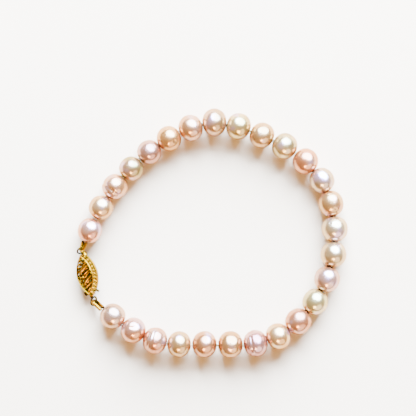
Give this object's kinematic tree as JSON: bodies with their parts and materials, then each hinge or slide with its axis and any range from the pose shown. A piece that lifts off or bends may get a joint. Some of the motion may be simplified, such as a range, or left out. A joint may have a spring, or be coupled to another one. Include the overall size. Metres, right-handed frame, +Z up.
{
  "type": "pearl bracelet",
  "caption": "Knotted string of off-round freshwater pearls in a closed loop, fastened by a pierced marquise-shaped gold clasp with a folded hook, lying flat.",
  "frame": {"origin": "middle of the bracelet's outline, on the surface that it lies on", "axes": "+Z up out of the surface, +Y towards the far side of the loop as the picture shows it, the clasp at -X"},
  "size_m": [0.0692, 0.0636, 0.0071],
  "materials": {
    "pearl": "nacre, lustrous",
    "silk": "twisted silk",
    "gold": "polished yellow gold with dark recesses",
    "gold_gimp": "polished yellow gold, finely coiled"
  },
  "bodies": {
    "root": {"pearl_01": "pearl", "pearl_02": "pearl", "pearl_03": "pearl", "pearl_04": "pearl", "pearl_05": "pearl", "pearl_06": "pearl", "pearl_07": "pearl", "pearl_08": "pearl", "pearl_09": "pearl", "pearl_10": "pearl", "pearl_11": "pearl", "pearl_12": "pearl", "pearl_13": "pearl", "pearl_14": "pearl", "pearl_15": "pearl", "pearl_16": "pearl", "pearl_17": "pearl", "pearl_18": "pearl", "pearl_19": "pearl", "pearl_20": "pearl", "pearl_21": "pearl", "pearl_22": "pearl", "pearl_23": "pearl", "pearl_24": "pearl", "pearl_25": "pearl", "pearl_26": "pearl", "pearl_27": "pearl", "thread": "silk", "clasp_body": "gold", "clasp_hook": "gold", "gimp_top": "gold_gimp", "gimp_bottom": "gold_gimp"}
  },
  "joints": []
}
